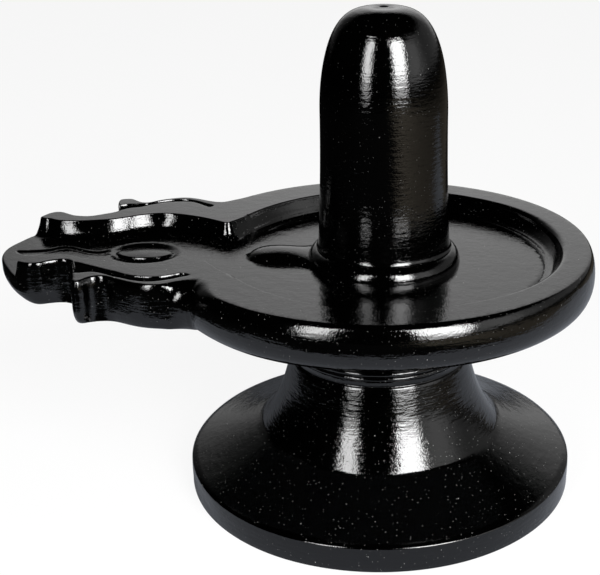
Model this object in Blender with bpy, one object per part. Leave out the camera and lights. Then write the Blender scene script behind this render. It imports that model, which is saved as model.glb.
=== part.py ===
"""A shiva lingam on its yoni dish and pedestal, three pieces of polished black granite.

The foot's flat underside stands on Z = 0, the lingam's axis is the Z axis, and the dish's spout points along -X.
Sizes are in metres. A plan point of the spout is (distance from the axis along -X, half width), in millimetres.
"""

import math

import bmesh
import bpy

MM = 0.001
JOINT_GAP = 0.3 * MM
# How far a cutter stands proud of what it cuts
OVERSHOOT = 2 * MM

# Pedestal: a disc foot, a flared neck and the spigot that centres the dish
FOOT_RADIUS = 100 * MM
FOOT_SIDE_HEIGHT = 13.5 * MM
FLARE_BASE_RADIUS = 61.5 * MM
FLARE_BASE_HEIGHT = 29.3 * MM
NECK_RADIUS = 46 * MM
NECK_STRAIGHT_HEIGHT = 68.5 * MM
PEDESTAL_HEIGHT = 74.2 * MM
NECK_GROOVE_DEPTH = 0.8 * MM
SPIGOT_RADIUS = 24 * MM
SPIGOT_HEIGHT = 8 * MM

# Dish: a round basin with a raised collar, on a cove-shaped underside
RIM_HEIGHT = 128.7 * MM
RIM_OUTER_RADIUS = 103.6 * MM
BASIN_RADIUS = 86.7 * MM
SIDE_RADIUS = 108.2 * MM
SIDE_BULGE_HEIGHT = 116.6 * MM
DISH_UNDERSIDE = 105.6 * MM
COVE_HEIGHT = 28 * MM
BEAD_PROUD = 1.5 * MM
FLOOR_HEIGHT = 119.5 * MM
COLLAR_RADIUS = 38.5 * MM
COLLAR_TOP = 127 * MM
SOCKET_DEPTH = 14 * MM
# The basin's wall runs out this far at the back, and this far where it meets the spout
BASIN_COVE_RUN = 4.7 * MM
CORNER_COVE_RUN = 16 * MM

# Spout: a flat-bottomed slab with two wavy walls, two ears and a rounded nose
SPOUT_UNDERSIDE = 106 * MM
SPOUT_ROOT_RADIUS = 95 * MM
EAR_GROOVE_DEPTH = 6 * MM
TONGUE_HEIGHT = 4.5 * MM
LEAF_GROOVE_WIDTH = 2.4 * MM
LEAF_GROOVE_DEPTH = 1.2 * MM
EYE_CENTRE = 120.4 * MM
EYE_SIZE = (14.3 * MM, 8 * MM)
EYE_HOLLOW_SIZE = (17.2 * MM, 14.4 * MM)
EYE_HOLLOW_DEPTH = 2.2 * MM
NOTCH_DISTANCE = 184.5 * MM
NOTCH_HALF_WIDTH = 21.5 * MM
NOTCH_LENGTH = 7 * MM
NOTCH_DEPTH = 5 * MM

# Lingam: a shaft that narrows a little upwards, with a domed top
LINGAM_HEIGHT = 245.4 * MM
SHAFT_RADIUS = 31.15 * MM
SHAFT_FOOT_RADIUS = 33.2 * MM
DOME_START = 195 * MM
DOME_FULLNESS = 0.282
PIT_RADIUS = 2.2 * MM
PIT_DEPTH = 1.6 * MM

# The spout's outline, from its notch with the dish round the ear, its knob and the wall to the nose's tip
EAR_AND_NOSE = [
    (89.5, 56.5), (94.5, 60), (100, 63.5), (106, 65), (113, 65.2), (119, 64), (125, 60.5), (130, 56.5),
    (134, 55.3), (137.5, 57), (141, 59.5), (145, 59), (147.5, 56), (148, 50), (147.5, 43), (149.5, 36.5),
    (154, 32.5), (158.5, 31.6), (164, 33), (169, 35.2), (174, 36), (178.5, 32), (182.5, 25), (187, 17),
    (191.5, 10), (194.8, 5), (196, 0),
]
# The channel's edge at rim height with the run of its coved wall, from the basin's corner to past the wall's end
CHANNEL_EDGE = [
    (90, 29, 16), (97, 31.8, 16), (105, 34.6, 16), (114, 36.8, 16), (122, 37.5, 16.5), (131, 35.6, 17),
    (140, 31.9, 17.5), (149, 27.5, 17), (158.5, 24.8, 14.5), (166, 26.2, 15), (172, 28.5, 14),
    (176.5, 31, 9), (180, 36, 4), (182, 45, 3), (205, 45, 0), (205, 12, 0),
]
# The groove between a wall and its ear at rim height, up the wall's side and back down the ear's side
EAR_GROOVE_WALL_SIDE = [
    (86.5, 50.6), (92, 47.8), (98, 49.6), (105, 51.8), (113, 51.6), (121.5, 48.6), (128, 45.6), (134, 43.2),
    (141.5, 40), (152, 34.4),
]
EAR_GROOVE_EAR_SIDE = [
    (86.5, 51), (92, 54.3), (98, 58.5), (105, 61.2), (113, 60.6), (121.5, 57.2), (128, 52.5), (134, 49.3),
    (141.5, 49.8), (152, 51),
]
# The tongue between the collar and the spout: (distance, half width, percent of the full height)
TONGUE = [
    (30, 24, 60), (36, 17.5, 75), (43, 13.5, 85), (51, 12.2, 100), (59, 12.6, 100), (65, 10.8, 85),
    (69, 7, 55), (71, 3, 20),
]
# The leaf cut between the eye and the nose: one side of its outline
LEAF = [(142, 0.8), (148.5, 1.2), (157.5, 5), (163.7, 7.6), (170.7, 4.4), (176, 2), (183, 0.8)]


def clear_scene():
    for thing in list(bpy.data.objects):
        bpy.data.objects.remove(thing, do_unlink=True)


def granite(name):
    """Polished black stone, one material for each piece."""
    material = bpy.data.materials.new(name)
    material.use_nodes = True
    shader = material.node_tree.nodes["Principled BSDF"]
    shader.inputs["Base Color"].default_value = (0.009, 0.009, 0.010, 1)
    shader.inputs["Roughness"].default_value = 0.16
    shader.inputs["Metallic"].default_value = 0
    return material


def new_object(name, mesh):
    thing = bpy.data.objects.new(name, mesh)
    bpy.context.scene.collection.objects.link(thing)
    return thing


def turned(name, profile, steps):
    """A closed solid of revolution. The profile of (radius, height) starts and ends on the axis, top end first."""
    mesh = bpy.data.meshes.new(name)
    edges = [(k, k + 1) for k in range(len(profile) - 1)]
    mesh.from_pydata([(radius, 0, height) for radius, height in profile], edges, [])
    thing = new_object(name, mesh)
    screw = thing.modifiers.new("turn", "SCREW")
    screw.steps = screw.render_steps = steps
    screw.use_merge_vertices = True
    screw.merge_threshold = 0.00001
    return thing


def lofted(name, sections):
    """A closed solid through sections of equal point count, capped at both ends."""
    shape = bmesh.new()
    rings = [[shape.verts.new(point) for point in section] for section in sections]
    count = len(sections[0])
    for low, high in zip(rings, rings[1:]):
        for k in range(count):
            shape.faces.new((low[k], low[(k + 1) % count], high[(k + 1) % count], high[k]))
    shape.faces.new(rings[0][::-1])
    shape.faces.new(rings[-1])
    bmesh.ops.recalc_face_normals(shape, faces=shape.faces)
    mesh = bpy.data.meshes.new(name)
    shape.to_mesh(mesh)
    shape.free()
    return new_object(name, mesh)


def combine(thing, tool, operation):
    """Joins the tool to the thing or cuts it away. The tool stays as a hidden guide."""
    tool.hide_render = True
    tool.display_type = "WIRE"
    step = thing.modifiers.new(tool.name, "BOOLEAN")
    step.operation = operation
    step.solver = "EXACT"
    step.object = tool


def arc(centre, radii, start, end, count):
    """Points on an ellipse's arc between two angles in degrees, both ends included."""
    points = []
    for k in range(count):
        angle = math.radians(start + (end - start) * k / (count - 1))
        points.append((centre[0] + radii[0] * math.cos(angle), centre[1] + radii[1] * math.sin(angle)))
    return points


def smooth(points, steps):
    """A Catmull-Rom curve through points given in millimetres, which may have any number of coordinates."""
    curve = []
    for k in range(len(points) - 1):
        before = points[max(k - 1, 0)]
        a, b = points[k], points[k + 1]
        after = points[min(k + 2, len(points) - 1)]
        for step in range(steps):
            t = step / steps
            curve.append(tuple(
                q + 0.5 * t * (r - p + t * (2 * p - 5 * q + 4 * r - s + t * (3 * (q - r) + s - p)))
                for p, q, r, s in zip(before, a, b, after)
            ))
    curve.append(points[-1])
    return [tuple(value * MM for value in point) for point in curve]


def level(points, height):
    return [(x, y, height) for x, y in points]


def pedestal():
    rounding = 1.6 * MM
    profile = [(0, PEDESTAL_HEIGHT + SPIGOT_HEIGHT), (SPIGOT_RADIUS, PEDESTAL_HEIGHT + SPIGOT_HEIGHT)]
    profile.append((SPIGOT_RADIUS, PEDESTAL_HEIGHT))
    profile += arc((NECK_RADIUS - rounding, PEDESTAL_HEIGHT - rounding), (rounding, rounding), 90, 0, 3)
    profile.append((NECK_RADIUS, NECK_STRAIGHT_HEIGHT + 2 * NECK_GROOVE_DEPTH))
    profile.append((NECK_RADIUS - NECK_GROOVE_DEPTH, NECK_STRAIGHT_HEIGHT + NECK_GROOVE_DEPTH))
    flare_steps = 8
    for k in range(flare_steps):
        drop = k / (flare_steps - 1)
        radius = NECK_RADIUS + (FLARE_BASE_RADIUS - NECK_RADIUS) * drop**2
        profile.append((radius, NECK_STRAIGHT_HEIGHT + (FLARE_BASE_HEIGHT - NECK_STRAIGHT_HEIGHT) * drop))
    profile += arc((FOOT_RADIUS - rounding, FOOT_SIDE_HEIGHT - rounding), (rounding, rounding), 66, 0, 3)
    chamfer = 0.8 * MM
    profile += [(FOOT_RADIUS, chamfer), (FOOT_RADIUS - chamfer, 0), (0, 0)]
    return turned("pedestal", profile, 54)


def dish_blank():
    """The round dish without its basin. Its underside has a pocket for the pedestal's spigot."""
    profile = [(0, RIM_HEIGHT)]
    shoulder = SIDE_RADIUS - RIM_OUTER_RADIUS
    profile += arc((RIM_OUTER_RADIUS, SIDE_BULGE_HEIGHT), (shoulder, RIM_HEIGHT - SIDE_BULGE_HEIGHT), 90, 0, 6)
    lip = 4.5 * MM
    profile += arc((SIDE_RADIUS - lip, DISH_UNDERSIDE + lip), (lip - 0.9 * MM, lip), 0, -90, 4)
    bead_height = 1.6 * MM
    bead_top = PEDESTAL_HEIGHT + JOINT_GAP + 2 * bead_height
    cove_run = SIDE_RADIUS - lip - NECK_RADIUS
    profile += arc((SIDE_RADIUS - lip, bead_top), (cove_run, COVE_HEIGHT), 102, 170, 6)
    profile.append((NECK_RADIUS, bead_top))
    profile += arc((NECK_RADIUS, PEDESTAL_HEIGHT + JOINT_GAP + bead_height), (BEAD_PROUD, bead_height), 60, -90, 5)
    pocket_radius = SPIGOT_RADIUS + JOINT_GAP
    pocket_ceiling = PEDESTAL_HEIGHT + SPIGOT_HEIGHT + JOINT_GAP
    profile += [(pocket_radius, PEDESTAL_HEIGHT + JOINT_GAP), (pocket_radius, pocket_ceiling), (0, pocket_ceiling)]
    return turned("yoni_dish", profile, 60)


def spout_slab():
    """The spout's full outline, mirrored about the XZ plane and closed by an arc inside the dish's rim."""
    half = smooth(EAR_AND_NOSE, 2)
    near = [(-distance, -width) for distance, width in half[::-1]]
    far = [(-distance, width) for distance, width in half[:-1]]
    root_angle = math.degrees(math.asin(0.9 * half[0][1] / SPOUT_ROOT_RADIUS))
    root = arc((0, 0), (SPOUT_ROOT_RADIUS, SPOUT_ROOT_RADIUS), 180 + root_angle, 180 - root_angle, 13)
    outline = near + root + far
    edge = 1.2 * MM
    lower = moved_inwards(outline, [edge] * len(outline))
    return lofted("spout_slab", [
        level(lower, SPOUT_UNDERSIDE), level(outline, SPOUT_UNDERSIDE + edge), level(outline, RIM_HEIGHT),
    ])


def moved_inwards(outline, amounts):
    """Moves each point of a closed counter-clockwise outline to its left by its own amount."""
    moved = []
    for k, ((x, y), amount) in enumerate(zip(outline, amounts)):
        before, after = outline[k - 1], outline[(k + 1) % len(outline)]
        along = math.hypot(after[0] - before[0], after[1] - before[1])
        moved.append((x - amount * (after[1] - before[1]) / along, y + amount * (after[0] - before[0]) / along))
    return moved


def hollow_edge():
    """One half of the basin's and channel's shared edge at rim height, as (x, y, run of its coved wall)."""
    corner_angle = 162.5
    half = []
    for x, y in arc((0, 0), (BASIN_RADIUS, BASIN_RADIUS), 0, corner_angle, 24):
        nearness = max(0, -x / BASIN_RADIUS)
        half.append((x, y, BASIN_COVE_RUN + (CORNER_COVE_RUN - BASIN_COVE_RUN) * nearness**3))
    half += [(-distance, width, run) for distance, width, run in smooth(CHANNEL_EDGE[:-2], 2)]
    half += [(-distance * MM, width * MM, run * MM) for distance, width, run in CHANNEL_EDGE[-2:]]
    return half


def hollow_cutter():
    """The basin and the spout's channel, with one coved wall all round, open past the nose."""
    half = hollow_edge()
    edge = half + [(x, -y, run) for x, y, run in half[:0:-1]]
    outline = [(x, y) for x, y, run in edge]
    sections = [level(outline, RIM_HEIGHT + OVERSHOOT)]
    cove_steps = 3
    for k in range(cove_steps + 1):
        angle = math.pi / 2 * k / cove_steps
        inset = moved_inwards(outline, [run * (1 - math.cos(angle)) for x, y, run in edge])
        sections.append(level(inset, RIM_HEIGHT - (RIM_HEIGHT - FLOOR_HEIGHT) * math.sin(angle)))
    return lofted("hollow_cutter", sections)


def collar():
    """The raised ring that holds the lingam's foot."""
    width = COLLAR_RADIUS - SHAFT_FOOT_RADIUS
    profile = [(0, COLLAR_TOP)]
    profile += arc((SHAFT_FOOT_RADIUS, FLOOR_HEIGHT), (width, COLLAR_TOP - FLOOR_HEIGHT), 80, 0, 5)
    profile += [(COLLAR_RADIUS, FLOOR_HEIGHT - OVERSHOOT), (0, FLOOR_HEIGHT - OVERSHOOT)]
    return turned("collar", profile, 48)


def socket_cutter():
    """The hole that the lingam stands in."""
    radius = SHAFT_FOOT_RADIUS + JOINT_GAP
    top, bottom = COLLAR_TOP + OVERSHOOT, COLLAR_TOP - SOCKET_DEPTH
    return turned("socket_cutter", [(0, top), (radius, top), (radius, bottom), (0, bottom)], 48)


def ear_groove_cutter(side):
    """The groove between a wall and its ear, open at the ear's knob. side is -1 or 1."""
    wall_side, ear_side = smooth(EAR_GROOVE_WALL_SIDE, 2), smooth(EAR_GROOVE_EAR_SIDE, 2)
    floor_share = 0.2
    pairs = list(zip(wall_side, ear_side))
    low_wall = [(a[0], a[1] + floor_share * (b[1] - a[1])) for a, b in pairs]
    low_ear = [(b[0], b[1] - floor_share * (b[1] - a[1])) for a, b in pairs]
    tip_slope = 5 * MM
    for low in (low_wall, low_ear):
        low[0] = (low[0][0] + tip_slope, low[0][1])
    def placed(first, second, height):
        return [(-distance, side * width, height) for distance, width in first + second[::-1]]
    return lofted("ear_groove_cutter", [
        placed(wall_side, ear_side, RIM_HEIGHT + OVERSHOOT), placed(wall_side, ear_side, RIM_HEIGHT),
        placed(low_wall, low_ear, RIM_HEIGHT - EAR_GROOVE_DEPTH),
    ])


def tongue():
    """The domed tongue that runs from the collar towards the spout."""
    sections = []
    bottom = FLOOR_HEIGHT - OVERSHOOT
    for distance, width, percent in smooth(TONGUE, 2):
        height = TONGUE_HEIGHT * percent / MM / 100
        dome = arc((0, FLOOR_HEIGHT), (width, height), 180, 0, 9)
        ring = [(-width, bottom), *dome, (width, bottom)]
        sections.append([(-distance, y, z) for y, z in ring])
    return lofted("tongue", sections)


def eye_hollow_cutter():
    """The oval hollow round the eye in the channel's floor."""
    steps = 25
    centre = (-EYE_CENTRE, 0)
    rim = arc(centre, EYE_HOLLOW_SIZE, 0, 360, steps)[:-1]
    base = arc(centre, (EYE_SIZE[0] + 1 * MM, EYE_SIZE[1] + 1 * MM), 0, 360, steps)[:-1]
    return lofted("eye_hollow_cutter", [
        level(rim, FLOOR_HEIGHT + OVERSHOOT), level(rim, FLOOR_HEIGHT), level(base, FLOOR_HEIGHT - EYE_HOLLOW_DEPTH),
    ])


def eye():
    """The flat oval that stands in its hollow."""
    steps = 25
    centre = (-EYE_CENTRE, 0)
    base = arc(centre, EYE_SIZE, 0, 360, steps)[:-1]
    top = arc(centre, (EYE_SIZE[0] - 1 * MM, EYE_SIZE[1] - 1 * MM), 0, 360, steps)[:-1]
    bottom = FLOOR_HEIGHT - EYE_HOLLOW_DEPTH - OVERSHOOT
    return lofted("eye", [level(base, bottom), level(base, FLOOR_HEIGHT - 1 * MM), level(top, FLOOR_HEIGHT)])


def leaf_groove_cutter(side):
    """One side of the leaf between the eye and the nose, as a three-sided groove. side is -1 or 1."""
    path = [(-distance, side * width) for distance, width in smooth(LEAF, 3)]
    sections = []
    for k, (x, y) in enumerate(path):
        before, after = path[max(k - 1, 0)], path[min(k + 1, len(path) - 1)]
        along = math.hypot(after[0] - before[0], after[1] - before[1])
        across = (
            LEAF_GROOVE_WIDTH * (before[1] - after[1]) / along, LEAF_GROOVE_WIDTH * (after[0] - before[0]) / along,
        )
        top = FLOOR_HEIGHT + LEAF_GROOVE_DEPTH
        sections.append([
            (x - across[0], y - across[1], top), (x + across[0], y + across[1], top),
            (x, y, FLOOR_HEIGHT - LEAF_GROOVE_DEPTH),
        ])
    return lofted("leaf_groove_cutter", sections)


def nose_notch_cutter(side):
    """A V-shaped cut in the nose's edge beside the end of a wall. side is -1 or 1."""
    inward = (0.78, -0.62 * side)
    across = (-inward[1], inward[0])
    top = FLOOR_HEIGHT + OVERSHOOT
    outer_end = (-NOTCH_LENGTH, NOTCH_LENGTH, NOTCH_DEPTH)
    inner_end = (NOTCH_LENGTH, 0.15 * NOTCH_LENGTH, -0.1 * NOTCH_DEPTH)
    sections = []
    for along, half_width, depth in (outer_end, inner_end):
        x = -NOTCH_DISTANCE + inward[0] * along
        y = side * NOTCH_HALF_WIDTH + inward[1] * along
        sections.append([
            (x - across[0] * half_width, y - across[1] * half_width, top),
            (x + across[0] * half_width, y + across[1] * half_width, top), (x, y, FLOOR_HEIGHT - depth),
        ])
    return lofted("nose_notch_cutter", sections)


def yoni_dish():
    dish = dish_blank()
    combine(dish, spout_slab(), "UNION")
    combine(dish, hollow_cutter(), "DIFFERENCE")
    combine(dish, tongue(), "UNION")
    combine(dish, collar(), "UNION")
    combine(dish, socket_cutter(), "DIFFERENCE")
    combine(dish, eye_hollow_cutter(), "DIFFERENCE")
    combine(dish, eye(), "UNION")
    for side in (-1, 1):
        combine(dish, ear_groove_cutter(side), "DIFFERENCE")
        combine(dish, nose_notch_cutter(side), "DIFFERENCE")
        combine(dish, leaf_groove_cutter(side), "DIFFERENCE")
    return dish


def lingam():
    bottom = COLLAR_TOP - SOCKET_DEPTH + JOINT_GAP
    profile = [(0, LINGAM_HEIGHT - PIT_DEPTH), (PIT_RADIUS, LINGAM_HEIGHT - 0.2 * MM)]
    dome_steps = 10
    for k in range(1, dome_steps + 1):
        share = math.cos(math.pi / 2 * k / dome_steps)
        height = DOME_START + (LINGAM_HEIGHT - DOME_START) * share
        profile.append((SHAFT_RADIUS * (1 - share**2) ** DOME_FULLNESS, height))
    shaft_steps = 3
    for k in range(1, shaft_steps + 1):
        drop = k / shaft_steps
        radius = SHAFT_RADIUS + (SHAFT_FOOT_RADIUS - SHAFT_RADIUS) * drop**2
        profile.append((radius, DOME_START + (COLLAR_TOP - DOME_START) * drop))
    chamfer = 1 * MM
    profile += [(SHAFT_FOOT_RADIUS, bottom + chamfer), (SHAFT_FOOT_RADIUS - chamfer, bottom), (0, bottom)]
    return turned("lingam", profile, 48)


clear_scene()
for piece in (pedestal(), yoni_dish(), lingam()):
    piece.data.materials.append(granite(piece.name))
    piece.data.shade_smooth()
    piece.data.set_sharp_from_angle(angle=math.radians(35))
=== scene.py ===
import math

import bmesh
import bpy
import numpy as np
from mathutils.geometry import delaunay_2d_cdt
from mathutils.kdtree import KDTree
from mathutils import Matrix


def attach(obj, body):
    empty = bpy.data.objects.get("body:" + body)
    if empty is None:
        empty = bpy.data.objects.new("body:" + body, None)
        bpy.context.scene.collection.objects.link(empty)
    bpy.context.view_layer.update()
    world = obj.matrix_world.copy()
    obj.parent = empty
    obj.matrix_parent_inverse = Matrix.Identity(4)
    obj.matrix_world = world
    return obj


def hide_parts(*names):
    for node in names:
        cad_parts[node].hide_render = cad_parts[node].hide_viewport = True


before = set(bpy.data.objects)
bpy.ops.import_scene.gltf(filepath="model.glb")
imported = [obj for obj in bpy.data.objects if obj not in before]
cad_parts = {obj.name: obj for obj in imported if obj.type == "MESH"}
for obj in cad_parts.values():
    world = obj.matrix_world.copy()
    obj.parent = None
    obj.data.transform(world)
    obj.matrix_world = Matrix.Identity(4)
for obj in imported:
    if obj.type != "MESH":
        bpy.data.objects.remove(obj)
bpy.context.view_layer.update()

# The studio: the stone stands on a small grey table in a darkened room, between two tall soft boxes in
# front and a pale backdrop behind. The eye sees the floor and the room as plain white paper, and the
# stone mirrors the rest.
CAMERA_PLACE = (0.03605, -0.57300, 0.33781)
LOOKING_DOWN, TURNED_LEFT = math.radians(22.22), math.radians(3.6)


def linked(thing):
    """The object, placed in the scene."""
    bpy.context.scene.collection.objects.link(thing)
    return thing


lens = bpy.data.cameras.new("camera")
lens.sensor_fit = "HORIZONTAL"
lens.sensor_width = 36
lens.lens = 72.64
lens.shift_x = -0.1398
camera = linked(bpy.data.objects.new("camera", lens))
camera.location = CAMERA_PLACE
camera.rotation_euler = (math.pi / 2 - LOOKING_DOWN, 0, TURNED_LEFT)
bpy.context.scene.camera = camera
bpy.context.scene.view_settings.view_transform = "Standard"


class Wire:
    """One output of a node. Arithmetic on wires adds the Math nodes that work it out."""

    def __init__(self, tree, socket=None):
        self.tree = tree
        self.socket = socket

    def node(self, kind, settings, inputs, output=None):
        """Adds a node: its settings first, then the value or the wire of each input."""
        made = self.tree.nodes.new(kind)
        for name, value in settings.items():
            if name == "stops":
                ramp = made.color_ramp
                while len(ramp.elements) < len(value):
                    ramp.elements.new(0.5)
                for element, (position, colour) in zip(ramp.elements, value):
                    element.position = position
                    element.color = colour
            else:
                setattr(made, name, value)
        for name, value in inputs.items():
            if isinstance(value, Wire):
                self.tree.links.new(value.socket, made.inputs[name])
            else:
                made.inputs[name].default_value = value
        return Wire(self.tree, made.outputs[output] if output is not None else None)

    def maths(self, operation, *values):
        return self.node("ShaderNodeMath", {"operation": operation}, dict(enumerate(values)), 0)

    def __add__(self, other):
        return self.maths("ADD", self, other)

    def __sub__(self, other):
        return self.maths("SUBTRACT", self, other)

    def __rsub__(self, other):
        return self.maths("SUBTRACT", other, self)

    def __mul__(self, other):
        return self.maths("MULTIPLY", self, other)

    def __truediv__(self, other):
        return self.maths("DIVIDE", self, other)

    def __rtruediv__(self, other):
        return self.maths("DIVIDE", other, self)

    __radd__ = __add__
    __rmul__ = __mul__

    def between(self, low, high):
        """0 below low, 1 above high and a smooth step between them."""
        settings = {"interpolation_type": "SMOOTHSTEP"}
        return self.node("ShaderNodeMapRange", settings, {"Value": self, "From Min": low, "From Max": high}, 0)

    def axis(self, letter):
        return self.node("ShaderNodeSeparateXYZ", {}, {"Vector": self}, letter)

    def colour(self, first, second):
        """The first colour where this is 0, the second where it is 1."""
        return self.node("ShaderNodeMix", {"data_type": "RGBA"}, {0: self, 6: first, 7: second}, 2)

    def shader(self, first, second):
        """The first shader where this is 0, the second where it is 1."""
        return self.node("ShaderNodeMixShader", {}, {0: self, 1: first, 2: second}, 0)


def empty_tree(owner):
    owner.use_nodes = True
    owner.node_tree.nodes.clear()
    return Wire(owner.node_tree)


# The room's walls: bearings in degrees from the front round the right to the back, and how bright each is.
ROOM_BRIGHTNESS = (
    (-180, 1.05), (-172, 1.0), (-163, 0.8), (-156, 0.5), (-142, 0.1), (-120, 0), (42, 0), (52, 1.0), (62, 1.35),
    (75, 1.2), (83, 0.65), (97, 0.3), (142, 0.25), (157, 0.7), (172, 0.95), (180, 1.05),
)
BRIGHTEST, ROOM_STRENGTH = 1.4, 1.15
WALL_FOOT, WALL_TOP = (-0.02, 0.1), (0.5, 0.68)
bpy.context.scene.world = bpy.data.worlds.new("room")
room = empty_tree(bpy.context.scene.world)
looking = room.node("ShaderNodeTexCoord", {}, {}, "Generated")
east, north, rise = looking.axis("X"), looking.axis("Y"), looking.axis("Z")
bearing = room.maths("ARCTAN2", east, 0 - north) / math.tau + 0.5
stops = [((degrees + 180) / 360, (level / BRIGHTEST,) * 3 + (1,)) for degrees, level in ROOM_BRIGHTNESS]
walls = room.node("ShaderNodeValToRGB", {"stops": stops}, {"Fac": bearing}, "Color").axis("X")
brightness = walls * BRIGHTEST * ROOM_STRENGTH * rise.between(*WALL_FOOT) * (1 - rise.between(*WALL_TOP))
seen_straight = room.node("ShaderNodeLightPath", {}, {}, "Is Camera Ray")
brightness = brightness * (1 - seen_straight) + seen_straight
glow = room.node("ShaderNodeBackground", {}, {"Strength": brightness}, 0)
room.node("ShaderNodeOutputWorld", {}, {"Surface": glow})

FLOOR_REACH = 6
TABLE_FRONT, TABLE_BACK, TABLE_LEFT, TABLE_CORNER, SOFT_EDGE = -0.26, 0.36, -0.34, 0.45, 0.02
# Painted shade and painted sheen: off the table the floor is near-black, and brown towards the right. Only the stone's
# reflections see these colours.
TABLE_GREY, PAINTED_SHADE_FLOOR, PAINTED_SHEEN_FLOOR = (0.34, 0.36, 0.4, 1), (0.008, 0.008, 0.008, 1), (0.17, 0.15, 0.12, 1)
PAINTED_SHEEN_FROM, PAINTED_SHEEN_TO = 0.23, 0.42
PAPER_WHITE, PAPER_SHARE = (0.8, 0.8, 0.8, 1), 0.1
plane = bpy.data.meshes.new("floor")
corners = [(FLOOR_REACH * x, FLOOR_REACH * y, 0) for x, y in ((-1, -1), (1, -1), (1, 1), (-1, 1))]
plane.from_pydata(corners, [], [(0, 1, 2, 3)])
floor = linked(bpy.data.objects.new("floor", plane))
floor_paint = bpy.data.materials.new("floor")
plane.materials.append(floor_paint)
paint = empty_tree(floor_paint)
spot = paint.node("ShaderNodeTexCoord", {}, {}, "Object")
across, away = spot.axis("X"), spot.axis("Y")
on_table = away.between(TABLE_FRONT - SOFT_EDGE, TABLE_FRONT)
on_table = on_table * (1 - away.between(TABLE_BACK, TABLE_BACK + SOFT_EDGE))
on_table = on_table * across.between(TABLE_LEFT - SOFT_EDGE, TABLE_LEFT)
on_table = on_table * (1 - (across - away).between(TABLE_CORNER - SOFT_EDGE, TABLE_CORNER))
# Painted shade and painted reflection: beyond the table the floor is painted near-black where the room is only unlit,
# and brown towards the right so that the stone shows a brownish sheen on its right side.
painted_shade_and_sheen = across.between(PAINTED_SHEEN_FROM, PAINTED_SHEEN_TO).colour(PAINTED_SHADE_FLOOR, PAINTED_SHEEN_FLOOR)
paper = paint.node("ShaderNodeBsdfDiffuse", {}, {"Color": PAPER_WHITE}, 0)
table_top = paint.node("ShaderNodeBsdfDiffuse", {}, {"Color": TABLE_GREY}, 0)
painted_reflection_floor = paint.node("ShaderNodeBsdfDiffuse", {}, {"Color": painted_shade_and_sheen}, 0)
white = paint.node("ShaderNodeEmission", {}, {"Strength": 1}, 0)
to_eye = paint.node("ShaderNodeMixShader", {}, {0: PAPER_SHARE, 1: white, 2: paper}, 0)
seen_straight = paint.node("ShaderNodeLightPath", {}, {}, "Is Camera Ray")
surface = seen_straight.shader(on_table.shader(painted_reflection_floor, table_top), to_eye)
paint.node("ShaderNodeOutputMaterial", {}, {"Surface": surface})

# The soft boxes lean over the stone. Each is brighter above than below, so it is made of two lamps.
LIGHT_DISTANCE, LIGHT_FOOT, LEAN = 1.5, 0.02, math.radians(26)
SOFT_BOXES = (("left_box", -28, 0.34, 15), ("right_box", 34.5, 0.6, 24))
BOX_PARTS = (("upper", -0.3, 0.59, 1), ("lower", -0.59, -0.3, 0.35))
for name, degrees, width, strength in SOFT_BOXES:
    for half, low, high, share in BOX_PARTS:
        lamp = bpy.data.lights.new(name + "_" + half, "AREA")
        lamp.shape = "RECTANGLE"
        lamp.size, lamp.size_y = width, high - low
        lamp.energy = strength * share * math.pi * width * (high - low)
        box = linked(bpy.data.objects.new(lamp.name, lamp))
        heading, up_the_box = math.radians(degrees), (low + high) / 2
        outwards = LIGHT_DISTANCE * math.cos(LEAN) - up_the_box * math.sin(LEAN)
        height = LIGHT_FOOT + LIGHT_DISTANCE * math.sin(LEAN) + up_the_box * math.cos(LEAN)
        box.location = (outwards * math.sin(heading), -outwards * math.cos(heading), height)
        box.rotation_euler = (math.pi / 2 - LEAN, 0, heading)

# The pedestal: one block of black granite turned to a disc foot, a low cone, a flared neck and a fine
# groove under a narrow rounded band. Its foot stands on the table, and the dish sits on its top.
MM = 0.001
FOOT_RADIUS, FOOT_SIDE, FOOT_EDGE, FOOT_UNDER_EDGE = 100.4, 13.5, 1.1, 0.5
CONE_DIP = 0.9
NECK_RADIUS, NECK_TOP, NECK_CENTRE, NECK_LEAN = 45.9, 74.2, -2.2, math.tan(math.radians(16))
FLARE_START, FLARE_BEND, FLARE_END, FLARE_RADIUS = 68.5, 56, 29.3, 62.5
BAND_ROUNDING, BAND_GROOVE = 1.5, 0.7
SPIGOT_RADIUS, SPIGOT_HEIGHT = 24, 8
LATHE_STEPS = 256
STONE_BLACK, STONE_CLOUD, FLECK_WHITE = (
    (0.0001, 0.0001, 0.00011, 1), (0.0002, 0.00019, 0.00018, 1), (0.26, 0.26, 0.25, 1),
)


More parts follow.
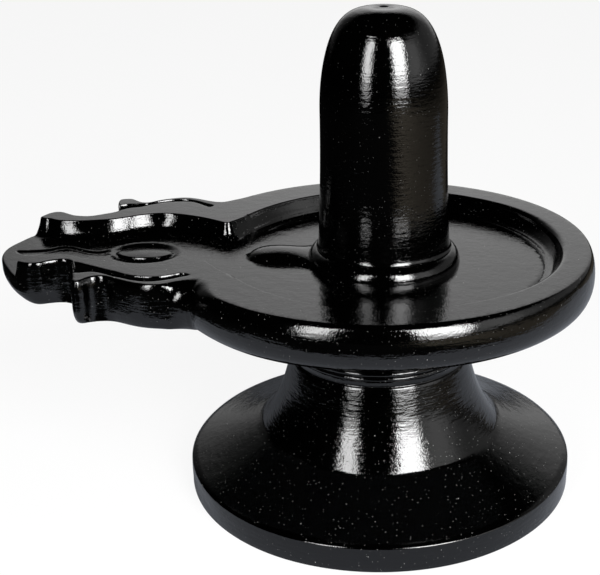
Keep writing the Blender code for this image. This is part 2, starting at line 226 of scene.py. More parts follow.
def granite(name, ripple, marks, speckled):
    """Black granite, polished by hand: white flecks, level tool marks and a slightly uneven shine.

    The depth of its ripple and of its tool marks is in metres, and speckled is how white its flecks are.
    """
    material = bpy.data.materials.new(name)
    stone = empty_tree(material)
    spot = stone.node("ShaderNodeTexCoord", {}, {}, "Object")

    def noise(scale, detail, stretch=(1, 1, 1)):
        stretched = stone.node("ShaderNodeMapping", {}, {"Vector": spot, "Scale": stretch}, 0)
        return stone.node("ShaderNodeTexNoise", {}, {"Vector": stretched, "Scale": scale, "Detail": detail}, "Fac")

    def flecks(cells_per_metre, radius, share):
        """Round mineral flecks: some cells of a random packing have one, of a random size."""
        cells = stone.node("ShaderNodeTexVoronoi", {}, {"Vector": spot, "Scale": cells_per_metre}, "Distance")
        pick = stone.node("ShaderNodeTexVoronoi", {}, {"Vector": spot, "Scale": cells_per_metre}, "Color")
        size = pick.axis("X") * radius * pick.axis("Y").between(1 - share, 1 - share + 0.02)
        return 1 - cells.between(size * 0.5, size + 0.0001)

    fleck = stone.maths("MAXIMUM", flecks(760, 0.22, 0.6) * 0.5, flecks(270, 0.1, 0.4)) * speckled
    colour = fleck.colour(noise(26, 4).between(0.35, 0.7).colour(STONE_BLACK, STONE_CLOUD), FLECK_WHITE)
    roughness = 0.03 + 0.06 * noise(90, 3) + 0.2 * fleck
    waves = noise(110, 2) * 0.55 + noise(300, 2, (1, 1, 1.6)) * 0.45
    grain = noise(1300, 2) * 0.00006
    height = waves * ripple + grain + noise(800, 1, (0.12, 0.12, 1)) * marks
    bump = stone.node("ShaderNodeBump", {}, {"Strength": 1.0, "Distance": 1.0, "Height": height}, 0)
    inputs = {"Base Color": colour, "Roughness": roughness, "Normal": bump, "IOR": 1.52}
    polished = stone.node("ShaderNodeBsdfPrincipled", {}, inputs, 0)
    stone.node("ShaderNodeOutputMaterial", {}, {"Surface": polished})
    return material


def arc(centre, radii, start, end, count):
    """Points on an ellipse's arc between two angles in degrees, both ends included."""
    angles = np.radians(np.linspace(start, end, count))
    return [(centre[0] + radii[0] * math.cos(a), centre[1] + radii[1] * math.sin(a)) for a in angles]


def turning_tree():
    """Geometry nodes that turn a profile, given as a line of points at +X, about the Z axis."""
    tree = bpy.data.node_groups.new("turned on a lathe", "GeometryNodeTree")
    sockets = (
        ("Profile", "NodeSocketGeometry"), ("Steps", "NodeSocketInt"), ("Unevenness", "NodeSocketFloat"),
        ("Patches per metre", "NodeSocketFloat"), ("Centre", "NodeSocketVector"), ("Stone", "NodeSocketMaterial"),
    )
    for name, kind in sockets:
        tree.interface.new_socket(name, in_out="INPUT", socket_type=kind)
    tree.interface.new_socket("Turned", in_out="OUTPUT", socket_type="NodeSocketGeometry")
    nodes = Wire(tree)
    asked = tree.nodes.new("NodeGroupInput")
    profile, steps, unevenness, patches, centre, stone = [Wire(tree, asked.outputs[name]) for name, _ in sockets]

    def vector_maths(operation, *values):
        return nodes.node("ShaderNodeVectorMath", {"operation": operation}, dict(enumerate(values)), 0)

    rows = nodes.node("GeometryNodeAttributeDomainSize", {}, {"Geometry": profile}, "Point Count")
    grid = nodes.node("GeometryNodeMeshGrid", {}, {"Vertices X": steps + 1, "Vertices Y": rows}, "Mesh")
    index = nodes.node("GeometryNodeInputIndex", {}, {}, 0)
    here = nodes.node("GeometryNodeInputPosition", {}, {}, 0)
    point = nodes.node(
        "GeometryNodeSampleIndex", {"data_type": "FLOAT_VECTOR"},
        {"Geometry": profile, "Value": here, "Index": nodes.maths("MODULO", index, rows)}, 0,
    )
    angle = nodes.maths("FLOOR", index / rows) / steps * math.tau
    swept = nodes.node("ShaderNodeVectorRotate", {"rotation_type": "Z_AXIS"}, {"Vector": point, "Angle": angle}, 0)
    swell = nodes.node("ShaderNodeTexNoise", {}, {"Vector": swept, "Scale": patches, "Detail": 1.0}, "Fac")
    outwards = vector_maths("NORMALIZE", vector_maths("MULTIPLY", swept, (1, 1, 0)))
    settings, amount = {"operation": "SCALE"}, (swell - 0.5) * unevenness
    moved = nodes.node("ShaderNodeVectorMath", settings, {0: outwards, "Scale": amount}, 0)
    position = vector_maths("ADD", vector_maths("ADD", swept, moved), centre)
    shaped = nodes.node("GeometryNodeSetPosition", {}, {"Geometry": grid, "Position": position}, 0)
    closed = nodes.node("GeometryNodeMergeByDistance", {}, {"Geometry": shaped, "Distance": 0.000002}, 0)
    real = nodes.node("GeometryNodeRealizeInstances", {}, {"Geometry": closed}, 0)
    dressed = nodes.node("GeometryNodeSetMaterial", {}, {"Geometry": real, "Material": stone}, 0)
    nodes.node("NodeGroupOutput", {}, {"Turned": dressed})
    return tree


def turned(name, profile, material, unevenness, patches, centre):
    """A mesh object turned from a profile of (radius, height) in millimetres, top end first."""
    line = bpy.data.meshes.new(name)
    line.from_pydata([(radius * MM, 0, height * MM) for radius, height in profile], [], [])
    blank = linked(bpy.data.objects.new(name, line))
    lathe = blank.modifiers.new("lathe", "NODES")
    lathe.node_group = lathe_tree
    values = {
        "Steps": LATHE_STEPS, "Unevenness": unevenness * MM, "Patches per metre": patches,
        "Centre": (centre * MM, 0, 0), "Stone": material,
    }
    for item in lathe_tree.interface.items_tree:
        if item.name in values:
            lathe[item.identifier] = values[item.name]
    graph = bpy.context.evaluated_depsgraph_get()
    mesh = bpy.data.meshes.new_from_object(blank.evaluated_get(graph))
    blank.modifiers.clear()
    blank.data = mesh
    bpy.data.meshes.remove(line)
    mesh.name = name
    outwards = sum(face.normal.dot((face.center.x, face.center.y, 0)) for face in mesh.polygons)
    if outwards < 0:
        mesh.flip_normals()
    mesh.shade_smooth()
    mesh.set_sharp_from_angle(angle=math.radians(40))
    return blank


def finish_piece(piece, node):
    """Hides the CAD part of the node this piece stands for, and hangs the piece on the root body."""
    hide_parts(node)
    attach(piece, "root")


lathe_tree = turning_tree()
profile = [(0, NECK_TOP + SPIGOT_HEIGHT), (SPIGOT_RADIUS, NECK_TOP + SPIGOT_HEIGHT), (SPIGOT_RADIUS, NECK_TOP)]
band_centre = (NECK_RADIUS - BAND_ROUNDING, NECK_TOP - BAND_ROUNDING)
profile += arc(band_centre, (BAND_ROUNDING, BAND_ROUNDING), 90, -40, 9)
profile += arc((NECK_RADIUS + 0.1, FLARE_START + 0.6), (BAND_GROOVE, BAND_GROOVE), 110, 250, 7)
bend_radius = NECK_RADIUS + NECK_LEAN * (FLARE_START - FLARE_BEND)
spread = (FLARE_RADIUS - bend_radius - NECK_LEAN * (FLARE_BEND - FLARE_END)) / (FLARE_BEND - FLARE_END) ** 2
for height in np.linspace(FLARE_START - 0.5, FLARE_END, 30):
    below_bend = max(0, FLARE_BEND - height)
    profile.append((NECK_RADIUS + NECK_LEAN * (FLARE_START - height) + spread * below_bend**2, height))
for share in np.linspace(0.08, 0.97, 14):
    height = FLARE_END + (FOOT_SIDE - FLARE_END) * share - CONE_DIP * math.sin(math.pi * share)
    profile.append((FLARE_RADIUS + (FOOT_RADIUS - FLARE_RADIUS) * share, height))
profile += arc((FOOT_RADIUS - FOOT_EDGE, FOOT_SIDE - FOOT_EDGE - 0.1), (FOOT_EDGE, FOOT_EDGE), 70, 0, 6)
profile += [(FOOT_RADIUS + 0.1, 8), (FOOT_RADIUS, 4)]
profile += arc((FOOT_RADIUS - FOOT_UNDER_EDGE, FOOT_UNDER_EDGE), (FOOT_UNDER_EDGE, FOOT_UNDER_EDGE), 0, -90, 5)
profile += [(60, 0), (0, 0)]
pedestal_granite = granite("pedestal granite", ripple=0.0002, marks=0.0001, speckled=1)
pedestal = turned("pedestal_stone", profile, pedestal_granite, unevenness=0.5, patches=14, centre=NECK_CENTRE)
finish_piece(pedestal, "pedestal")

# The lingam: an upright stone ground by hand to a shaft that narrows a little upwards and a full dome
# with a small pit. It stands in the dish's collar on a thin fillet of black adhesive.
LINGAM_TOP, DOME_START, COLLAR_TOP = 245.4, 195, 127
SHAFT_RADIUS, SHAFT_FOOT, DOME_FULLNESS = 31.15, 33.2, 0.282
SOCKET_FLOOR, SOCKET_GAP = COLLAR_TOP - 14, 0.3
PIT = [(0, 1.5), (1.2, 1.3), (1.9, 0.5), (2.5, 0.1)]
FILLET = [(33.35, 1.2), (33.65, 0.6), (34.1, 0.15), (SHAFT_FOOT, 0)]
profile = [(radius, LINGAM_TOP - depth) for radius, depth in PIT]
for share in np.cos(np.linspace(0.13, math.pi / 2, 40)):
    height = DOME_START + (LINGAM_TOP - DOME_START) * share
    profile.append((SHAFT_RADIUS * (1 - share**2) ** DOME_FULLNESS, height))
for drop in np.linspace(0.04, 0.97, 24):
    height = DOME_START + (COLLAR_TOP - DOME_START) * drop
    profile.append((SHAFT_RADIUS + (SHAFT_FOOT - SHAFT_RADIUS) * drop**2, height))
profile += [(radius, COLLAR_TOP + lift) for radius, lift in FILLET]
profile += [(SHAFT_FOOT, SOCKET_FLOOR + 1 + SOCKET_GAP), (SHAFT_FOOT - 1, SOCKET_FLOOR + SOCKET_GAP)]
profile += [(0, SOCKET_FLOOR + SOCKET_GAP)]
lingam_granite = granite("lingam granite", ripple=0.00016, marks=0.00008, speckled=0.35)
lingam = turned("lingam_stone", profile, lingam_granite, unevenness=0.4, patches=22, centre=0)
finish_piece(lingam, "lingam")

# The yoni dish: one slab of black granite carved to a round basin with a raised collar and a long spout,
# on a cove-shaped underside with a bead. The spout has coved wavy walls, two ears and a blunt nose.

# The outlines are plan points in millimetres: how far out along the spout, how far to the far side, and
# for a wall how wide its slope is. For the tongue: how far out, its half width and its share of the height.
SPOUT_OUTLINE = [
    (90.5, 63.5), (93.2, 60.5), (96.5, 59.6), (100.3, 60.8), (104, 62.6), (108, 64.4), (112.6, 65.8), (117, 65.8),
    (121, 64.6), (126, 62.3), (130, 59.6), (133, 56.8), (135.5, 55.8), (138, 56.5), (141, 59), (144, 61.4),
    (147.5, 61.6), (150.6, 60.2), (151.2, 57), (149.8, 51), (147.6, 45), (147.2, 40.5), (149.5, 37.6), (153, 35.2),
    (157.5, 32.2), (161, 31), (165, 31.1), (168.5, 32), (171.5, 33.8), (175, 36.2), (178, 37.1), (181, 36.2),
    (183.5, 33.5), (185.3, 29.5), (187.5, 25.5), (190.5, 20.5), (193, 14), (195, 8.5), (196.2, 3), (196.2, -2.3),
    (195.4, -7), (193.6, -12), (190.4, -18.4), (187, -24), (183.7, -29.2), (180.5, -33.6), (176.8, -37.6),
    (173, -39.9), (168.4, -41), (164.7, -40.2), (162, -38.2), (158.5, -35.9), (155, -34.6), (151.5, -34.9),
    (149, -37.2), (148, -42), (147, -48), (145, -53), (143.5, -57), (142.5, -61), (139.7, -63.1), (137, -61.6),
    (135, -58.3), (132.5, -56.2), (129.3, -55.7), (126, -56.7), (122, -59), (118, -61), (113.8, -63),
    (108.7, -64.6), (104, -65.2), (100, -65), (95, -65), (91, -65.9), (86.8, -67.8),
]
FAR_WALL = [
    (76.5, 34.4, 3.2), (79.3, 30, 3.6), (81.6, 26.8, 6), (83.4, 24.7, 10), (86, 24.5, 12), (88.4, 25.9, 13),
    (92.6, 28.4, 15), (97.5, 31.3, 16.5), (103.4, 33.6, 16), (107.4, 35, 16), (112.1, 36.4, 15.5), (118.9, 37.6, 14.5),
    (123.3, 37.5, 13.5), (129.3, 35.6, 12), (135.7, 32.7, 12), (139.3, 30, 12), (142.5, 27.7, 12.5),
    (147.3, 25.7, 13.5), (152.3, 24.3, 13), (157.4, 23.1, 12), (161.4, 22.2, 11.5), (168.8, 21.6, 11),
    (173.2, 22.1, 11), (176.2, 23.1, 11), (179.5, 24.9, 10), (182.5, 25.2, 8), (185, 27, 5), (186.3, 31, 4),
    (187.5, 38, 4), (190, 50, 4),
]
NEAR_WALL = [
    (184, -52, 4), (179, -43, 4), (175.7, -38.4, 5), (174, -34.6, 6), (172, -31.6, 8), (167, -29.4, 10),
    (162.5, -27.7, 11), (157.8, -26.8, 12), (153.6, -27.4, 13), (149.5, -29.4, 13), (145.6, -30.8, 12),
    (138.6, -32.8, 12), (133.2, -34.5, 12), (127.8, -36.2, 13), (124.1, -37.4, 14), (117.6, -37.9, 15),
    (110.4, -37.6, 16), (105.6, -36.8, 16), (102.2, -35, 16), (99.1, -33.5, 16), (94.4, -32.3, 15),
    (89.8, -31.4, 13), (86.4, -31, 10), (84.3, -32, 8), (82.5, -34.2, 6), (79, -38.8, 5), (75.2, -43.4, 4),
    (70.7, -47.6, 3.5),
]
FAR_GROOVE = [
    (156, 39), (150, 39.8), (145.6, 41.5), (141.6, 45.1), (136.6, 47.1), (133.4, 49.9), (129.7, 52.8),
    (124.8, 55.8), (119.6, 57.5), (114.1, 58.2), (109.5, 57.6), (105, 54.7), (100.3, 50.6), (98.4, 49.7),
    (97.2, 51.2), (97.4, 53.1), (102.5, 56.3), (107.1, 59.5), (112.1, 61.7), (117.8, 62.1), (123.1, 60.7),
    (128.1, 58.2), (131.5, 55.9), (134.3, 53.4), (138, 52.6), (144.4, 51.8), (149, 50), (156, 50),
]
NEAR_GROOVE = [
    (156, -50.5), (148, -50.8), (142, -51.4), (139.7, -50.8), (136.2, -49.8), (132.7, -50.2), (128.2, -52.3),
    (123.7, -54.9), (120, -56.3), (115.7, -58.3), (112, -59.6), (108.5, -60.3), (104.8, -60.1), (100.4, -58.8),
    (96.2, -56.7), (93, -54.3), (89, -51.7), (88.7, -50.3), (91.4, -48.9), (94.1, -49.3), (97.4, -51.4),
    (101.7, -53.6), (106.3, -54.3), (111.1, -53.8), (116.1, -52.9), (120.4, -51), (124.4, -48.6), (130, -46),
    (134.5, -43.6), (138.5, -41.6), (142, -39.8), (145.5, -38), (150, -37.4), (156, -37.6),
]
TONGUE = [
    (28, 26, 0.5), (35, 17.5, 0.75), (42, 13.2, 0.85), (49.5, 12, 1), (57, 12, 1), (63, 10, 0.85),
    (67, 6.5, 0.55), (69, 3, 0.2), (69.8, 0.3, 0.05),
]
LEAF = [
    (142.4, 4.7), (146.7, 1.5), (152, 1.9), (158.2, 4.8), (164.4, 7.8), (169.3, 6.8), (173.6, 3.5), (178.3, 1.7),
    (184, 0.6), (190, -0.4), (184.5, -5.6), (180.9, -6.2), (177.2, -4.5), (172.8, -2.1), (168.4, 0.2), (163, 2.2),
    (157, 0.4), (151, -2.6), (146, -3.6), (141.5, -3),
]
RIM, FLOOR = 128.7, 119.5
BASIN_RADIUS, BASIN_RUN, BASIN_RUN_RIGHT, BASIN_CENTRE = 86.2, 3.2, 7.5, 2.5
FACE_RUN, FACE_DROP, STEEPEST, TOE_LEAN = 2.5, 5.8, 12, 34
EDGE_WORN, EDGE_WORN_RIGHT = 0.8, 3.2
WALL_EASE, NEAR_CORNER_GAP, FAR_CORNER_GAP = 6, 5, 3
SEAM_RADIUS, SEAM_CENTRE, SEAM_DEPTH, SEAM_HALF_WIDTH = 78, 3, 0.45, 0.7
COLLAR_RADIUS, SOCKET_RADIUS = 38.5, SHAFT_FOOT + SOCKET_GAP
GROOVE_DEPTH, GROOVE_FALL, GROOVE_RUN, GROOVE_EDGE = 6, 5, 1.1, 0.4
TONGUE_HEIGHT, LEAF_DEPTH, NOSE_DROP, NOSE_RISE = 4.5, 0.9, 3.2, 3.4
EYE_PLACE, EYE_SIZE, EYE_DOME = (-123.3, 1.2), (14.3, 7.7), 0.5
EYE_HOLLOW_SIZE, EYE_HOLLOW_DEPTH = (19, 15.5), 1.9
SIDE_BY_DIRECTION = [
    (-140, 109), (-120, 109.3), (-90, 108), (-45, 106.8), (0, 105.8), (45, 106.2), (90, 107.2), (120, 109.6),
    (145, 110.6),
]
NOTCH_INSET = [(74, 0), (78.5, 1.6), (82, 4), (86, 8.5), (88, 11.5), (90, 9.2), (92.5, 5.8), (96, 2.4), (100, 0)]
SIDE_TOP_INSET, SIDE_TOP_DROP, SIDE_FOOT_INSET, SIDE_FOOT_RISE = 4.9, 12.6, 6.3, 11
SPOUT_TOP_INSET, SPOUT_TOP_DROP, SPOUT_FOOT_INSET, SPOUT_FOOT_RISE = 1, 2.2, 1.7, 8
EAR_MORE_INSET, EAR_MORE_DROP, RIGHT_LESS_INSET, NOTCH_MORE_DROP = 0.7, 4, 1.5, 0.8
COVE_TOP, COVE_RISE, COVE_RUN, COVE_REACH = 77.8, 27.8, 57.7, 103.7
WAIST, BEAD_RADIUS, BEAD_CENTRE, BEAD_SIZE = 60, 46, 76.1, (1.5, 1.6)
POCKET_RADIUS, POCKET_TOP = SPIGOT_RADIUS + 0.3, NECK_TOP + SPIGOT_HEIGHT + 0.3
POINT_SPACING = 1.0
TO_PLAN = np.array([-1, 1])


def curve(points, spacing):
    """A smooth curve through the points, with new points evenly along its first two coordinates."""
    points = np.array(points, float)
    before, after = np.vstack([points[:1], points[:-1]])[:-1], np.vstack([points[2:], points[-1:]])
    t = np.linspace(0, 1, 24, endpoint=False)[None, :, None]
    before, a, b, after = (row[:, None, :] for row in (before, points[:-1], points[1:], after))
    bend = 2 * before - 5 * a + 4 * b - after + t * (3 * (a - b) + after - before)
    dense = a + 0.5 * t * (b - before + t * bend)
    return resampled(np.vstack([dense.reshape(-1, points.shape[1]), points[-1:]]), spacing)


def resampled(line, spacing):
    """The line with its points at even distances in plan."""
    along = np.concatenate([[0], np.cumsum(np.linalg.norm(np.diff(line[:, :2], axis=0), axis=1))])
    places = np.linspace(0, along[-1], max(2, round(along[-1] / spacing)) + 1)
    return np.column_stack([np.interp(places, along, line[:, k]) for k in range(line.shape[1])])


def smooth(value, low, high):
    """0 below low, 1 above high and a smooth step between them."""
    share = np.clip((value - low) / (high - low), 0, 1)
    return share * share * (3 - 2 * share)


def eased(line, reach):
    """A wall's line with each point averaged over its neighbours, but not at its two ends."""
    away_from_ends = smooth(-line[:, 0], 88, 96) * smooth(line[:, 0], -178, -168)
    spread = np.round(reach / POINT_SPACING * away_from_ends).astype(int)
    return np.array([line[k - n:k + n + 1].mean(0) for k, n in enumerate(spread)])


def steadied(values):
    """Values along a closed line, each averaged with the nine on each side of it."""
    return sum(np.roll(values, step, axis=0) for step in range(-9, 10)) / 19


def to_left(outline):
    """Unit normals to the left of a closed line."""
    along = np.roll(outline[:, :2], -1, axis=0) - np.roll(outline[:, :2], 1, axis=0)
    along /= np.linalg.norm(along, axis=1)[:, None]
    return np.column_stack([-along[:, 1], along[:, 0]])


def beside(line, offsets):
    """Copies of a closed line moved to its left by each offset."""
    normals = to_left(line)
    return np.vstack([line[:, :2] + normals * offset for offset in offsets])


def nearest(points, line):
    """The distance from each point to a closed line, and the place along the line as a fractional index."""
    start = line[:, :2]
    step = np.roll(start, -1, axis=0) - start
    length = np.maximum((step**2).sum(1), 1e-12)
    distances, places = np.empty(len(points)), np.empty(len(points))
    for k in range(0, len(points), 1500):
        offset = points[k:k + 1500, None, :] - start[None]
        share = np.clip((offset * step[None]).sum(2) / length, 0, 1)
        squared = ((offset - share[..., None] * step[None]) ** 2).sum(2)
        best = squared.argmin(1)
        rows = np.arange(len(best))
        distances[k:k + 1500] = np.sqrt(squared[rows, best])
        places[k:k + 1500] = best + share[rows, best]
    return distances, places


def inside(points, outline):
    """Whether each point lies inside a closed outline."""
    found = np.zeros(len(points), bool)
    ends = np.roll(outline[:, :2], -1, axis=0)
    for k in range(0, len(points), 1500):
        x, y = points[k:k + 1500, 0, None], points[k:k + 1500, 1, None]
        spans = (outline[None, :, 1] > y) != (ends[None, :, 1] > y)
        rise = np.where(ends[:, 1] == outline[:, 1], 1, ends[:, 1] - outline[:, 1])
        cross = outline[None, :, 0] + (y - outline[None, :, 1]) * ((ends[:, 0] - outline[:, 0]) / rise)[None]
        found[k:k + 1500] = (spans & (x < cross)).sum(1) % 2 == 1
    return found


def depth_inside(points, outline):
    """The signed distance to a closed outline, positive inside it, and the place along it."""
    distance, place = nearest(points, outline)
    return np.where(inside(points, outline), distance, -distance), place


def wall_face():
    """The face below a wall's edge, as distances across and down: it leans more and more."""
    lean = np.radians(np.linspace(STEEPEST, TOE_LEAN, 13))
    middles = (lean[1:] + lean[:-1]) / 2
    across = np.concatenate([[0], np.cumsum(np.sin(middles))])
    down = np.concatenate([[0], np.cumsum(np.cos(middles))])
    return across * FACE_RUN / across[-1], down * FACE_DROP / down[-1]


def rounded_step(into, run, depth, rounding):
    """The drop of a wall: a rounded edge, a face that leans more and more, and a long toe."""
    edge = rounding - np.sqrt(np.clip(rounding**2 - np.clip(into + rounding, 0, rounding) ** 2, 0, None))
    steep = np.minimum(1, 0.7 * run / FACE_RUN) * np.ones(len(into))
    part = (depth - rounding) / (RIM - FLOOR - EDGE_WORN)
    face = part * np.interp(into / steep, *face_shape)
    toe_run, toe_drop = run - FACE_RUN * steep, depth - rounding - FACE_DROP * part
    share = np.clip((into - FACE_RUN * steep) / toe_run, 0, 1)
    power = np.maximum(2, toe_run / toe_drop / math.tan(math.radians(TOE_LEAN)))
    toe = toe_drop * (1 - (1 - share) ** power)
    return np.where(into < 0, edge, rounding + face + toe)


face_shape = wall_face()
spout = curve(SPOUT_OUTLINE, POINT_SPACING) * TO_PLAN
first, last = [math.degrees(math.atan2(y, x)) for x, y in (spout[-1], spout[0])]
directions = np.linspace(first, last, 721)
radii = np.interp(directions, *zip(*SIDE_BY_DIRECTION))
around = np.column_stack([radii * np.cos(np.radians(directions)), radii * np.sin(np.radians(directions))])
outline = np.vstack([resampled(around, POINT_SPACING)[1:-1], spout])
far_wall, near_wall = [curve(wall, POINT_SPACING) * np.array([-1, 1, 1]) for wall in (FAR_WALL, NEAR_WALL)]
far_wall = eased(far_wall, WALL_EASE)
meetings = [math.degrees(math.atan2(y, x - BASIN_CENTRE)) for x, y, run in (near_wall[-1], far_wall[0])]
basin_start, basin_end = meetings[0] + NEAR_CORNER_GAP, meetings[1] - FAR_CORNER_GAP
basin = np.array(arc((BASIN_CENTRE, 0), (BASIN_RADIUS, BASIN_RADIUS), basin_start, basin_end, 721))
basin_run = BASIN_RUN + (BASIN_RUN_RIGHT - BASIN_RUN) * smooth(basin[:, 0], 30, 86)
basin = resampled(np.column_stack([basin, basin_run]), POINT_SPACING)
past_nose = np.array([(-210, 50, 3), (-210, -50, 3)])
hollow = np.vstack([basin, far_wall, past_nose, near_wall])
grooves = [curve(groove, POINT_SPACING) * TO_PLAN for groove in (FAR_GROOVE, NEAR_GROOVE)]
leaf = curve(LEAF, POINT_SPACING) * TO_PLAN
tongue = curve(TONGUE, 0.5)


def top_height(points):
    """The height of the dish's top surface over each plan point."""
    x, y = points[:, 0], points[:, 1]
    radius = np.hypot(x, y)
    into, place = depth_inside(points, hollow)
    runs = np.interp(place, np.arange(len(hollow) + 1), np.append(hollow[:, 2], hollow[0, 2]))
    worn = EDGE_WORN + (EDGE_WORN_RIGHT - EDGE_WORN) * smooth(x, 40, 85)
    z = RIM - rounded_step(into, runs, RIM - FLOOR, worn)
    z = z - NOSE_DROP * smooth(-x, 176, 186) * smooth(-y, 3, 28)
    for groove in grooves:
        depth = GROOVE_DEPTH + GROOVE_FALL * smooth(-x, 133, 145)
        z = np.minimum(z, RIM - rounded_step(depth_inside(points, groove)[0], GROOVE_RUN, depth, GROOVE_EDGE))
    half_width = np.interp(-x, tongue[:, 0], tongue[:, 1], left=0, right=0)
    tallness = np.interp(-x, tongue[:, 0], tongue[:, 2], left=0, right=0) * TONGUE_HEIGHT
    dome = np.sqrt(np.clip(1 - (y / np.maximum(half_width, 0.01)) ** 2, 0, 1))
    z = np.maximum(z, FLOOR + tallness * dome)
    ring = np.clip(radius - SHAFT_FOOT, 0, None) / (COLLAR_RADIUS - SHAFT_FOOT)
    z = np.maximum(z, FLOOR + (COLLAR_TOP - FLOOR) * np.sqrt(np.clip(1 - ring**2, 0, 1)))
    from_eye = points - np.array(EYE_PLACE)
    outer = np.hypot(*(from_eye / np.array(EYE_HOLLOW_SIZE)).T)
    inner = np.hypot(*(from_eye / np.array(EYE_SIZE)).T)
    eye_ring = EYE_HOLLOW_DEPTH * smooth(1 - outer, 0, 0.42) * smooth(inner, 0.95, 1.06)
    z = z - eye_ring - EYE_DOME * np.clip(inner, 0, 1) ** 2
    z = z - LEAF_DEPTH * smooth(depth_inside(points, leaf)[0], -0.3, 1.1) * (outer > 1)
    from_seam = np.abs(np.hypot(x - SEAM_CENTRE, y) - SEAM_RADIUS) / SEAM_HALF_WIDTH
    return z - SEAM_DEPTH * np.clip(1 - from_seam, 0, 1) * smooth(x, -68, -58)


def underside_height(points):
    """The height of the dish's cove-shaped underside over each plan point."""
    from_neck = np.hypot(points[:, 0] - NECK_CENTRE, points[:, 1])
    inwards = np.clip((COVE_REACH - from_neck) / COVE_RUN, 0, 1)
    return COVE_TOP + COVE_RISE * np.sqrt(1 - inwards**2) + NOSE_RISE * smooth(-points[:, 0], 166, 180)


def filled(rings, loose, height, spacing):
    """Vertices and triangles over the plan between the first ring and the others, through loose points."""
    points, edges = [], []
    for ring in rings:
        start = len(points)
        points += [tuple(point) for point in ring]
        edges += [(start + k, start + (k + 1) % len(ring)) for k in range(len(ring))]
    kept = loose[inside(loose, rings[0]) & (nearest(loose, rings[0])[0] > 0.3 * spacing)]
    for ring in rings[1:]:
        kept = kept[~inside(kept, ring) & (nearest(kept, ring)[0] > 0.3 * spacing)]
    points += [tuple(point) for point in kept]
    plan_points, _, faces, _, _, _ = delaunay_2d_cdt(points, edges, [], 0, 0.0001)
    flat = np.array([(point.x, point.y) for point in plan_points])
    faces = np.array(faces)
    middles = flat[faces].mean(1)
    within = inside(middles, rings[0])
    for ring in rings[1:]:
        within &= ~inside(middles, ring)
    return np.column_stack([flat, height(flat)]), faces[within]


def strip(rows):
    """Vertices and triangles of a closed band through rows of equal point count."""
    count = len(rows[0])
    here = np.arange(count)
    after = (here + 1) % count
    faces = []
    for k in range(len(rows) - 1):
        low, high = k * count, (k + 1) * count
        faces.append(np.column_stack([low + here, low + after, high + after]))
        faces.append(np.column_stack([low + here, high + after, high + here]))
    return np.vstack(rows), np.vstack(faces)


def thinned(points, others, gap):
    """The points that are no nearer than the gap to any of the others."""
    tree = KDTree(len(others))
    for k, (x, y) in enumerate(others):
        tree.insert((x, y, 0), k)
    tree.balance()
    return np.array([point for point in points if tree.find((point[0], point[1], 0))[2] > gap])


def lattice(spacing, low, high):
    """A hexagonal lattice of plan points in a box."""
    across, up = np.arange(low[0], high[0], spacing), np.arange(low[1], high[1], spacing * 0.866)
    x, y = np.meshgrid(across, up)
    x = x + (np.arange(len(up)) % 2)[:, None] * spacing / 2
    return np.column_stack([x.ravel(), y.ravel()])


def level_ring(centre, radius, height, count):
    """A level ring of points about a centre on the X axis."""
    turns = np.radians(np.arange(count) * 360 / count)
    return np.column_stack([centre + radius * np.cos(turns), radius * np.sin(turns), np.full(count, height)])


# The side of the slab rounds over from the ring where the top ends to the ring where the underside starts.
from_axis, on_near_side = -outline[:, 0], outline[:, 1] < 0
to_spout = smooth(from_axis, 84, 98)
notch = np.interp(from_axis, *zip(*NOTCH_INSET)) * on_near_side
on_ear = (1 - smooth(from_axis, 144, 150)) * on_near_side
side_inset = SIDE_TOP_INSET - RIGHT_LESS_INSET * smooth(-from_axis, 20, 100)
top_inset = side_inset + (SPOUT_TOP_INSET + EAR_MORE_INSET * on_ear - side_inset) * to_spout
top_drop = SIDE_TOP_DROP + (SPOUT_TOP_DROP + EAR_MORE_DROP * on_ear - SIDE_TOP_DROP) * to_spout
top_drop = top_drop + NOTCH_MORE_DROP * notch
foot_inset = SIDE_FOOT_INSET + (SPOUT_FOOT_INSET - SIDE_FOOT_INSET) * to_spout
foot_rise = SIDE_FOOT_RISE + (SPOUT_FOOT_RISE - SIDE_FOOT_RISE) * to_spout
inwards = to_left(outline)
top_ring = outline + inwards * top_inset[:, None] + steadied(inwards) * notch[:, None]
foot_ring = outline + (steadied(outline) - outline) * to_spout[:, None] + steadied(inwards) * foot_inset[:, None]
top_edge, foot = top_height(top_ring), underside_height(foot_ring)
tall = top_edge - foot
side_rows = []
for angle in np.radians(np.linspace(0, 90, 11)):
    share = 1 - math.sin(angle)
    drop = np.minimum(top_drop, 0.5 * tall) * (1 - math.cos(angle))
    side_rows.append(np.column_stack([outline * (1 - share) + top_ring * share, top_edge - drop]))
for angle in np.radians(np.linspace(0, 90, 10)):
    share = 1 - math.cos(angle)
    lift = np.minimum(foot_rise, 0.48 * tall) * (1 - math.sin(angle))
    side_rows.append(np.column_stack([outline * (1 - share) + foot_ring * share, foot + lift]))

# Points lie close together along each edge of the carving and wide apart on the flats.
COVE_SHARES = (0.06, 0.12, 0.2, 0.3, 0.4, 0.5, 0.6, 0.7, 0.8, 0.9, 1)
EDGE_OFFSETS = (-3.2, -2.4, -1.6, -1.1, -0.8, -0.55, -0.3, -0.1, 0, 0.5, 1, 1.5, 2, 2.5)
GROOVE_OFFSETS = (-0.4, -0.25, -0.1, 0.05, 0.25, 0.5, 0.8, 1.1, 1.8)
LEAF_OFFSETS = (-0.3, 0, 0.4, 0.8, 1.1)
EYE_SHARES, EYE_HOLLOW_SHARES = (0.6, 0.8, 0.9, 0.94, 0.98, 1.02), (0.7, 0.8, 0.9, 1)
COLLAR_RADII = (34, 34.8, 35.6, 36.4, 37.1, 37.7, 38.1, 38.35, 38.5, 38.7)
SPOUT_START, SPOUT_HALF_WIDTH = -34, 68
edge_points = [beside(hollow, [hollow[:, 2:] * share for share in COVE_SHARES]), beside(hollow, EDGE_OFFSETS)]
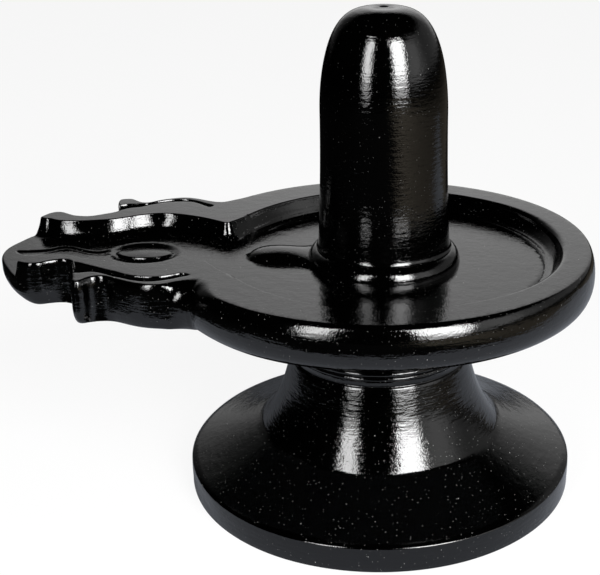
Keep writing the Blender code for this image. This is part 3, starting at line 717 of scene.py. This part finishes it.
edge_points += [beside(groove, GROOVE_OFFSETS) for groove in grooves] + [beside(leaf, LEAF_OFFSETS)]
for (length, breadth), shares in ((EYE_SIZE, EYE_SHARES), (EYE_HOLLOW_SIZE, EYE_HOLLOW_SHARES)):
    edge_points += [arc(EYE_PLACE, (length * share, breadth * share), 0, 357, 120) for share in shares]
edge_points += [arc((0, 0), (radius, radius), 0, 358.5, 240) for radius in COLLAR_RADII]
for radius in SEAM_RADIUS + np.linspace(-SEAM_HALF_WIDTH, SEAM_HALF_WIDTH, 5):
    edge_points.append(arc((SEAM_CENTRE, 0), (radius, radius), 0, 359, 480))
edge_points = np.vstack(edge_points)
coarse = lattice(3 * POINT_SPACING, (-110, -110), (110, 110))
coarse = coarse[(coarse[:, 0] > SPOUT_START) | (np.abs(coarse[:, 1]) > SPOUT_HALF_WIDTH)]
fine = lattice(1.2 * POINT_SPACING, (-198, -SPOUT_HALF_WIDTH), (SPOUT_START, SPOUT_HALF_WIDTH))
top_points = np.vstack([edge_points, thinned(np.vstack([coarse, fine]), edge_points, 0.7 * POINT_SPACING)])
under_points = [arc((NECK_CENTRE, 0), (radius, radius), 0, 357, 120) for radius in np.linspace(64, 106, 13)]

# The underside comes down to a waist, a bead and a pocket for the spigot, and the collar opens to a socket.
waist_ring = level_ring(NECK_CENTRE, WAIST, 0, 180)[:, :2]
socket_ring = level_ring(0, SOCKET_RADIUS, 0, 240)[:, :2]
neck_profile = [(WAIST, underside_height(waist_ring[:1])[0])]
for angle in np.radians(np.linspace(50, 78, 8)):
    neck_profile.append((COVE_REACH - COVE_RUN * math.sin(angle), COVE_TOP + COVE_RISE * math.cos(angle)))
neck_profile += [(BEAD_RADIUS + 0.2, COVE_TOP + 1.6), (BEAD_RADIUS, COVE_TOP + 0.4)]
neck_profile += arc((BEAD_RADIUS, BEAD_CENTRE), BEAD_SIZE, 75, -85, 9)
neck_profile += [(POCKET_RADIUS, NECK_TOP + 0.3), (POCKET_RADIUS, POCKET_TOP), (0, POCKET_TOP)]
neck_rows = [level_ring(NECK_CENTRE, radius, height, 180) for radius, height in neck_profile]
socket_rows = [np.column_stack([socket_ring, top_height(socket_ring)])]
socket_rows += [level_ring(0, radius, SOCKET_FLOOR, 240) for radius in (SOCKET_RADIUS, 0)]

surfaces = [
    filled([top_ring, socket_ring], top_points, top_height, 0.3),
    strip(side_rows),
    filled([side_rows[-1][:, :2], waist_ring], np.vstack(under_points), underside_height, 1),
    strip(neck_rows),
    strip(socket_rows),
]
vertices, faces, count = [], [], 0
for surface_vertices, surface_faces in surfaces:
    vertices.append(surface_vertices * MM)
    faces.append(surface_faces + count)
    count += len(surface_vertices)
mesh = bpy.data.meshes.new("yoni_dish_stone")
mesh.from_pydata(np.vstack(vertices).tolist(), [], np.vstack(faces).tolist())
shape = bmesh.new()
shape.from_mesh(mesh)
bmesh.ops.remove_doubles(shape, verts=shape.verts, dist=0.000003)
bmesh.ops.dissolve_degenerate(shape, edges=shape.edges, dist=0.000001)
bmesh.ops.recalc_face_normals(shape, faces=shape.faces)
shape.to_mesh(mesh)
shape.free()
mesh.materials.append(granite("dish granite", ripple=0.00018, marks=0.00008, speckled=0.7))
mesh.shade_smooth()
mesh.set_sharp_from_angle(angle=math.radians(50))
dish = linked(bpy.data.objects.new("yoni_dish_stone", mesh))
finish_piece(dish, "yoni_dish")
